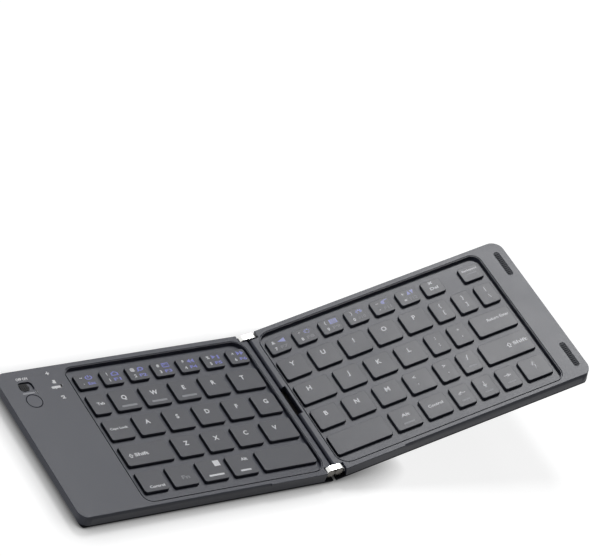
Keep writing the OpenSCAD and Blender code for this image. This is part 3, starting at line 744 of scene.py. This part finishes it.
def softened(node, name, side, body, finish, width, chosen, segments=3):
    """A copy of a CAD node with its chosen edges rounded."""
    mesh = NODES[node].data.copy()
    mesh.transform(PLACES[side].inverted())
    piece = bpy.data.objects.new(name, mesh)
    bpy.context.scene.collection.objects.link(piece)
    with editing(piece):
        bpy.ops.mesh.select_all(action="SELECT")
        bpy.ops.mesh.customdata_custom_splitnormals_clear()
        bpy.ops.mesh.remove_doubles(threshold=WELD)
        bpy.ops.mesh.dissolve_limited(angle_limit=FLAT_ANGLE)
    weights = bmesh.new()
    weights.from_mesh(mesh)
    layer = weights.edges.layers.float.new("bevel_weight_edge")
    for edge in weights.edges:
        if edge.is_manifold and edge.calc_face_angle(0) > SHARP_ANGLE and chosen(edge):
            edge[layer] = 1
    weights.to_mesh(mesh)
    weights.free()
    modifier = piece.modifiers.new("Rounding", "BEVEL")
    modifier.limit_method = "WEIGHT"
    modifier.width = width
    modifier.segments = segments
    modifier.use_clamp_overlap = False
    modifier.loop_slide = False
    modifier.miter_outer = "MITER_ARC"
    only(piece)
    bpy.ops.object.modifier_apply(modifier=modifier.name)
    dress(piece, finish)
    return settle(piece, name, side, body, [node])


class KEYBOARD_OT_casing(bpy.types.Operator):
    """Softens the upper shells of both halves and gives the lower ones their plastic"""

    bl_idname = "keyboard.casing"
    bl_label = "Casing"

    def execute(self, context):
        housing = settings().housing
        for side in ("left", "right"):
            rim = max(high.z for low, high in solids(side + "_top_case", side))

            def on_rim(edge):
                return at_height(edge, rim) and edge.calc_length() > SHORTEST_EDGE

            softened(
                side + "_top_case", side + "_upper_shell", side, side + "_half",
                "housing", housing.edge, on_rim,
            )
            dress(NODES[side + "_bottom_cover"], "cover")
        return {"FINISHED"}


# Legends of the grouped keys in reading order. Each mark has its text, the place of its middle from the
# key's left front corner, its width and its height in millimetres, and its ink.
BAR = "bar"

LEFT_NUMBERS = [
    ("~", "`", "⏻", "Esc"), ("!", "1", "⌂", "F1"), ("@", "2", "⌕", "F2"), ("#", "3", "⌨", "F3"),
    ("$", "4", "◀◀", "F4"), ("%", "5", "▶▮", "F5"), ("^", "6", "▶▶", "F6"),
]
RIGHT_NUMBERS = [
    ("&", "7", "◀", "F7"), ("*", "8", "☀", "F8"), ("(", "9", "▤", "F9"), (")", "0", "☼", "F10"),
    ("_", "-", "☾", "F11"), ("+", "=", "▲▼", "F12"),
]
DELETE_MARKS = [("×", 5.5, 7.6, 2.4, 1.8, "letters"), ("Del", 6.0, 3.9, 4.8, 1.8, "letters")]
BACKSPACE_MARKS = [("Backspace", 6.1, 6.8, 8.8, 1.5, "letters"), (BAR, 6.3, 4.3, 5.6, 0.7, "bars")]
LEFT_EDGE = [
    [("Tab", 6.0, 6.7, 4.4, 1.8, "letters")],
    [("Caps Lock", 7.3, 7.0, 10.6, 1.9, "letters")],
    [("⇧", 4.3, 6.4, 2.8, 2.8, "letters"), ("Shift", 10.6, 6.6, 8.2, 2.1, "letters")],
    [("Control", 8.2, 3.0, 8.8, 1.7, "letters")],
    [("Fn", 8.7, 5.3, 4.6, 2.4, "pale")],
    [("■", 11.8, 10.3, 3.6, 3.6, "letters"), (BAR, 8.2, 3.1, 9, 1.1, "letters")],
    [("Alt", 10.3, 9.9, 3.8, 1.9, "letters"), (BAR, 7.7, 2.9, 6.4, 1.1, "letters")],
]


def stacked(upper, lower):
    """Two signs above each other on a narrow key."""
    return [(upper, 5.4, 9.6, None, 2.1, "letters"), (lower, 5.6, 4.8, None, 2.1, "letters")]


RIGHT_EDGE = [
    stacked("{", "["),
    stacked("}", "]"),
    stacked("|", "\\"),
    stacked(":", ";"),
    stacked('"', "'"),
    [("Return Enter", 15.2, 8.4, 13, 1.8, "letters")],
    stacked("<", ","),
    stacked(">", "."),
    [("/", 5.4, 9.3, None, 2.9, "letters"), (BAR, 5.6, 3.4, 4.6, 0.9, "bars")],
    [("⇧", 15.9, 7.2, 3.2, 3.2, "letters"), ("Shift", 22.4, 7.3, 8.4, 2.1, "letters")],
]
RIGHT_BOTTOM = [
    [("Alt", 8.0, 8.2, 4.8, 1.9, "letters"), (BAR, 7.6, 3.1, 6.4, 0.9, "bars")],
    [("Control", 7.4, 7.4, 8.6, 1.7, "letters")],
    [("←", 5.2, 8.0, 4.2, 1.9, "letters"), (BAR, 5.4, 3.4, 4.6, 0.9, "bars")],
    [("↓", 5.2, 7.8, 1.9, 4.2, "letters"), (BAR, 5.4, 3.2, 4.6, 0.9, "bars")],
    [("→", 5.2, 8.0, 4.2, 1.9, "letters"), (BAR, 5.4, 3.4, 4.6, 0.9, "bars")],
    [("↑", 7.6, 8.2, 2.1, 5.4, "letters")],
]
BARRED = "qwe"  # letters whose keys also carry a pale bar


def number_marks(row, inks):
    """The four marks on each key of a number row."""
    return [
        [
            (upper, 3.8, 7.0, None, 1.8, "letters"),
            (lower, 3.7, 2.9, None, 1.8, "letters"),
            (icon, 8.2, 6.8, 4.3, 2.9, inks[0]),
            (word, 8.3, 2.9, 4.2, 1.9, inks[1]),
        ]
        for upper, lower, icon, word in row
    ]


def letter_marks(letter, side):
    """The letter on a key, and the pale bar that some keys carry."""
    marks = [(letter.upper(), 7.3, 8.3 if side == "left" else 8.8, None, 2.6, "letters")]
    if letter in BARRED:
        marks.append((BAR, 7.8, 2.6, 9, 1.2, "bars"))
    return marks


def printed(body, at, width, height, ink_name):
    """A sign in ink on a flat surface, at a letter height or stretched to fill a width and a height."""
    bpy.ops.object.text_add()
    sign = bpy.context.object
    sign.data.body = body
    sign.data.resolution_u = 3
    sign.data.extrude = LETTER_DEPTH
    sign.data.offset = LETTER_BOLD
    bpy.ops.object.convert(target="MESH")
    sign = bpy.context.object
    low = Vector([min(v.co[axis] for v in sign.data.vertices) for axis in range(3)])
    high = Vector([max(v.co[axis] for v in sign.data.vertices) for axis in range(3)])
    size = high - low
    middle = (low + high) / 2
    scale = [height / CAPITAL_SHARE, height / CAPITAL_SHARE, 2 * settings().key.ink / size.z, 1]
    if width:
        scale[0] = width / size.x
        scale[1] = height / size.y
    elif body.isalnum():
        middle.y = CAPITAL_SHARE / 2
    sign.data.transform(Matrix.Translation(-middle))
    sign.data.transform(Matrix.Diagonal(scale))
    sign.data.transform(Matrix.Translation(at))
    with editing(sign):
        bpy.ops.mesh.select_all(action="SELECT")
        bpy.ops.mesh.remove_doubles(threshold=LETTER_WELD)
    dress(sign, ink_name)
    return sign


def bar(at, width, depth, ink_name):
    """A printed bar with rounded ends."""
    thickness = 2 * settings().key.ink
    bpy.ops.mesh.primitive_cube_add(size=1, location=at, scale=(width, depth, thickness))
    strip = bpy.context.object
    bpy.ops.object.transform_apply(location=True, rotation=True, scale=True)
    with editing(strip):
        pick(strip, "edges", upright)
        bpy.ops.mesh.bevel(offset=depth * BAR_CORNER, segments=3, affect="EDGES")
    dress(strip, ink_name)
    return strip


CAPS = {}


def key_cap(low, high):
    """A hollow key cap with rounded corners and a post for its rubber dome."""
    key = settings().key
    size = high - low
    kind = tuple(round(c / TINY) for c in size)
    if kind not in CAPS:
        bpy.ops.mesh.primitive_cube_add(size=1, location=size / 2, scale=size)
        cap = bpy.context.object
        bpy.ops.object.transform_apply(location=True, rotation=True, scale=True)
        with editing(cap):
            pick(cap, "edges", upright)
            bpy.ops.mesh.bevel(offset=key.corner, segments=6, affect="EDGES")
            pick(cap, "edges", lambda edge: at_height(edge, size.z))
            bpy.ops.mesh.bevel(offset=key.edge, segments=3, affect="EDGES")
            pick(cap, "faces", looks_down)
            bpy.ops.mesh.inset(thickness=key.wall)
            bpy.ops.mesh.extrude_region_move(
                TRANSFORM_OT_translate={"value": (0, 0, size.z - key.top)}
            )
        tall = size.z - key.top / 2 - key.post_rise
        bpy.ops.mesh.primitive_cylinder_add(
            vertices=20, radius=key.post_radius, depth=tall,
            location=(size.x / 2, size.y / 2, key.post_rise + tall / 2),
        )
        post = bpy.context.object
        bpy.ops.object.transform_apply(location=True, rotation=True, scale=True)
        with editing(post):
            pick(post, "faces", looks_down)
            bpy.ops.mesh.bevel(offset=key.post_edge, segments=2, affect="EDGES")
        CAPS[kind] = join(cap, post).data.copy()
        CAPS[kind].name = "key cap pattern"
        bpy.data.objects.remove(cap)
    cap = bpy.data.objects.new("key cap", CAPS[kind].copy())
    bpy.context.scene.collection.objects.link(cap)
    cap.data.transform(Matrix.Translation(low))
    dress(cap, "key")
    return cap


def print_marks(marks, low, high):
    """Prints the marks of one key on its top."""
    made = []
    for text, x, y, width, height, ink_name in marks:
        at = (low.x + x * MM, low.y + y * MM, high.z)
        if text == BAR:
            made.append(bar(at, width * MM, height * MM, ink_name))
        else:
            made.append(printed(text, at, width and width * MM, height * MM, ink_name))
    return made


class KEYBOARD_OT_keys(bpy.types.Operator):
    """Moulds the 66 key caps and prints their legends"""

    bl_idname = "keyboard.keys"
    bl_label = "Keys"

    def execute(self, context):
        blue, pale = ("second", "second"), ("icon", "pale")
        groups = {
            "left_number_keys": number_marks(LEFT_NUMBERS, blue),
            "right_number_keys": number_marks(RIGHT_NUMBERS, pale) + [DELETE_MARKS, BACKSPACE_MARKS],
            "left_edge_keys": LEFT_EDGE,
            "right_edge_keys": RIGHT_EDGE,
            "right_bottom_keys": RIGHT_BOTTOM,
        }
        parents = {joint["child"]: joint["parent"] for joint in frame["joints"]}
        for body, nodes in frame["record"]["behaviour"]["bodies"].items():
            node = nodes[0]
            if not (node.startswith("key_") or node in groups):
                continue
            side = parents[body].split("_")[0]
            boxes = reading_order(solids(node, side))
            legends = groups.get(node) or [[] if "space" in node else letter_marks(node[-1], side)]
            if len(legends) != len(boxes):
                raise RuntimeError(f"{node} has {len(boxes)} keys and {len(legends)} legends")
            parts = []
            for box, marks in zip(boxes, legends):
                parts += [key_cap(*box)] + print_marks(marks, *box)
            piece = join(*parts)
            settle(piece, node.replace("_keys", "_key") + "_caps", side, body, [node])
        return {"FINISHED"}


class KEYBOARD_OT_controls(bpy.types.Operator):
    """Makes the power switch, the connect button and the marks of the control strip"""

    bl_idname = "keyboard.controls"
    bl_label = "Control strip"

    def execute(self, context):
        self.knob()
        self.button()
        self.marks()
        dress(NODES["indicator_lights"], "light")
        return {"FINISHED"}

    def knob(self):
        """Rounds the upper edges of the sliding knob."""
        low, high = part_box("power_switch_knob")
        reach = 0.3 * MM  # how far below the top an edge still counts as upper

        def upper(edge):
            return min(vertex.co.z for vertex in edge.verts) > high.z - reach

        softened(
            "power_switch_knob", "power_knob", "left", "power_switch_knob_body",
            "knob", settings().control.knob_edge, upper, 2,
        )

    def button(self):
        """Rounds the rim of the button."""
        low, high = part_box("connect_button")
        softened(
            "connect_button", "round_button", "left", "connect_button_body",
            "button", settings().control.button_edge, lambda edge: at_height(edge, high.z),
        )

    def marks(self):
        """Prints the words beside the switch and the signs in the column of the lights."""
        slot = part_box("power_switch_knob")
        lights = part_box("indicator_lights")
        top = max(high.z for low, high in solids("left_top_case", "left"))
        column = (lights[0].x + lights[1].x) / 2
        row = (slot[0].y + slot[1].y) / 2
        beside = (slot[0].x + slot[1].x) / 2
        thin = 1.7 * MM
        parts = [
            printed("OFF ON", (beside + 0.9 * MM, row + 5.2 * MM, top), 6.6 * MM, thin, "marks"),
            bar((beside + 0.3 * MM, row - 4.4 * MM, top), 6.8 * MM, 1.1 * MM, "bars"),
            bar((beside + 4.9 * MM, row - 4.2 * MM, top), 1.1 * MM, 1.9 * MM, "marks"),
            printed("+", (column, lights[1].y + 6 * MM, top), 2.2 * MM, 2.2 * MM, "marks"),
            printed("1", (column + 0.9 * MM, lights[1].y, top), 1.5 * MM, 2.2 * MM, "marks"),
            bar((column + 0.3 * MM, lights[1].y - 3.6 * MM, top), 5.6 * MM, 1.5 * MM, "marks"),
            bar((column + 3.4 * MM, lights[1].y - 3.2 * MM, top), 1.1 * MM, 2.2 * MM, "marks"),
            printed("2", (column + 0.9 * MM, lights[0].y, top), 2 * MM, 2.2 * MM, "marks"),
        ]
        piece = join(*parts)
        piece.name = "control_strip_marks"
        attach(piece, "left_half")


class KEYBOARD_OT_hinges(bpy.types.Operator):
    """Rounds the hinge links, and finishes their brackets and the flat cable"""

    bl_idname = "keyboard.hinges"
    bl_label = "Hinges"

    def execute(self, context):
        low, high = solids("hinge_links", "link")[0]
        middle = (low + high) / 2
        radius = (high.z - low.z) / 2
        straight = (high.x - low.x) / 2 - radius

        def on_outline(edge):
            out = (edge.verts[0].co + edge.verts[1].co) / 2 - middle
            reach = math.hypot(max(abs(out.x) - straight, 0), out.z)
            across = abs(edge.verts[0].co.y - edge.verts[1].co.y)
            return abs(reach - radius) < 2 * TINY and across < TINY

        softened(
            "hinge_links", "rounded_links", "link", "hinge_link",
            "link", settings().hinge.edge, on_outline,
        )
        for side in ("left", "right"):
            dress(NODES[side + "_hinge_brackets"], "bracket")
        dress(NODES["flex_cable"], "flex")
        return {"FINISHED"}


class KEYBOARD_OT_pads(bpy.types.Operator):
    """Rounds the ribs of the rubber pads, and finishes the feet and screws"""

    bl_idname = "keyboard.pads"
    bl_label = "Pads and feet"

    def execute(self, context):
        top = max(high.z for low, high in solids("ribbed_pads", "right"))
        softened(
            "ribbed_pads", "rounded_pads", "right", "right_half",
            "pad", settings().pad.rib_edge, lambda edge: at_height(edge, top), 2,
        )
        for side in ("left", "right"):
            dress(NODES[side + "_feet"], "foot")
            dress(NODES[side + "_case_screws"], "screw")
        return {"FINISHED"}


class KEYBOARD_OT_inside(bpy.types.Operator):
    """Finishes what the casing holds: plates, membranes, domes, clips, battery, board and socket"""

    bl_idname = "keyboard.inside"
    bl_label = "Inside"

    def execute(self, context):
        for side in ("left", "right"):
            dress(NODES[side + "_key_plate"], "plate")
            dress(NODES[side + "_membrane"], "membrane")
            dress(NODES[side + "_rubber_domes"], "dome")
            dress(NODES[side + "_scissor_clips"], "clip")
        dress(NODES["battery"], "battery")
        dress(NODES["main_board"], "board")
        dress(NODES["charging_port"], "port")
        return {"FINISHED"}


def area_lamp(name, place, aim, size, power):
    """A soft lamp of a width and a height, turned towards a point."""
    data = bpy.data.lights.new(name, "AREA")
    data.shape = "RECTANGLE"
    data.size, data.size_y = size
    data.energy = power
    lamp = bpy.data.objects.new(name, data)
    lamp.location = place
    lamp.rotation_euler = (Vector(aim) - Vector(place)).to_track_quat("-Z", "Y").to_euler()
    bpy.context.scene.collection.objects.link(lamp)


class KEYBOARD_OT_stage(bpy.types.Operator):
    """Sets up the pale floor, the soft lamps and the camera"""

    bl_idname = "keyboard.stage"
    bl_label = "Stage"

    def execute(self, context):
        studio = settings().studio
        scene = context.scene
        self.floor(studio)
        self.sky(scene, studio)
        area_lamp("Key lamp", (1.05, 1.87, 3.24), (0, 0, 0), (0.9, 0.9), studio.key_power)
        area_lamp("Rear lamp", (1.6, 1.35, 1.6), (0, 0, 0), (0.45, 0.45), studio.rear_power)
        area_lamp("Side lamp", (-1.3, 0.15, 0.08), (-0.15, 0, 0), (0.8, 0.14), studio.side_power)
        self.camera(scene, studio)
        scene.view_settings.view_transform = "Standard"
        return {"FINISHED"}

    def camera(self, scene, studio):
        """Places the camera that the scene is seen through."""
        data = bpy.data.cameras.new("Camera")
        data.lens = studio.lens
        data.sensor_width = 36
        data.clip_end = 50
        camera = bpy.data.objects.new("Camera", data)
        camera.location = studio.camera_place
        camera.rotation_euler = studio.camera_turn
        scene.collection.objects.link(camera)
        scene.camera = camera

    def seen(self, tree):
        """1 for what the camera sees straight, in a reflection or through glass."""
        path = tree.nodes.new("ShaderNodeLightPath")
        result = path.outputs["Is Camera Ray"]
        for label in ("Is Glossy Ray", "Is Transmission Ray"):
            result = math_node(tree, "MAXIMUM", result, path.outputs[label])
        return result

    def floor(self, studio):
        """Lays a floor with a glow of its own, which fades close to the object as a painted contact shadow."""
        bpy.ops.mesh.primitive_plane_add(size=8, location=(0, 0, 0))
        floor = bpy.context.object
        floor.name = "floor"
        surface = bpy.data.materials.new("Pale floor")
        surface.use_nodes = True
        tree = surface.node_tree
        shader = tree.nodes["Principled BSDF"]
        shader.inputs["Roughness"].default_value = 0.9
        shader.inputs["Specular IOR Level"].default_value = 0.1
        seen = self.seen(tree)
        unseen_colour = (0.12, 0.12, 0.12, 1)  # darker, so that little light comes back from the floor
        colour = mix_node(tree, "RGBA", seen, unseen_colour, (*studio.floor_colour, 1))
        tree.links.new(colour, shader.inputs["Base Color"])
        # Painted contact shadow: ambient occlusion darkens the floor's own glow near the object, whatever the
        # lamps do.
        near = tree.nodes.new("ShaderNodeAmbientOcclusion")
        near.inputs["Distance"].default_value = studio.contact
        painted_contact_shade = math_node(tree, "POWER", near.outputs["AO"], 1.5)
        glow = math_node(tree, "MULTIPLY", painted_contact_shade, studio.floor_glow)
        shown = math_node(tree, "MULTIPLY", seen, glow)
        tree.links.new(shown, shader.inputs["Emission Strength"])
        shader.inputs["Emission Color"].default_value = (1, 1, 1, 1)
        floor.data.materials.append(surface)

    def sky(self, scene, studio):
        """Gives plain light from all round, and white to the camera."""
        world = bpy.data.worlds.new("Studio")
        world.use_nodes = True
        tree = world.node_tree
        background = tree.nodes["Background"]
        background.inputs["Color"].default_value = (1, 1, 1, 1)
        strength = mix_node(tree, "FLOAT", self.seen(tree), studio.sky, 1)
        tree.links.new(strength, background.inputs["Strength"])
        scene.world = world


OPERATORS = (
    KEYBOARD_OT_casing,
    KEYBOARD_OT_keys,
    KEYBOARD_OT_controls,
    KEYBOARD_OT_hinges,
    KEYBOARD_OT_pads,
    KEYBOARD_OT_inside,
    KEYBOARD_OT_stage,
)


class KEYBOARD_PT_panel(bpy.types.Panel):
    """Lists the steps that finish the keyboard"""

    bl_idname = "KEYBOARD_PT_panel"
    bl_label = "Folding keyboard"
    bl_space_type = "VIEW_3D"
    bl_region_type = "UI"
    bl_category = "Keyboard"

    def draw(self, context):
        for operator in OPERATORS:
            self.layout.operator(operator.bl_idname)


CLASSES = (
    HousingSettings,
    KeySettings,
    ControlSettings,
    HingeSettings,
    PadSettings,
    StudioSettings,
    KeyboardSettings,
    *OPERATORS,
    KEYBOARD_PT_panel,
)


def register():
    for item in CLASSES:
        bpy.utils.register_class(item)
    bpy.types.Scene.folding_keyboard = PointerProperty(type=KeyboardSettings)


def unregister():
    del bpy.types.Scene.folding_keyboard
    for item in reversed(CLASSES):
        bpy.utils.unregister_class(item)


def main():
    register()
    bpy.ops.keyboard.casing()
    bpy.ops.keyboard.keys()
    bpy.ops.keyboard.controls()
    bpy.ops.keyboard.hinges()
    bpy.ops.keyboard.pads()
    bpy.ops.keyboard.inside()
    bpy.ops.keyboard.stage()


if __name__ == "__main__":
    main()
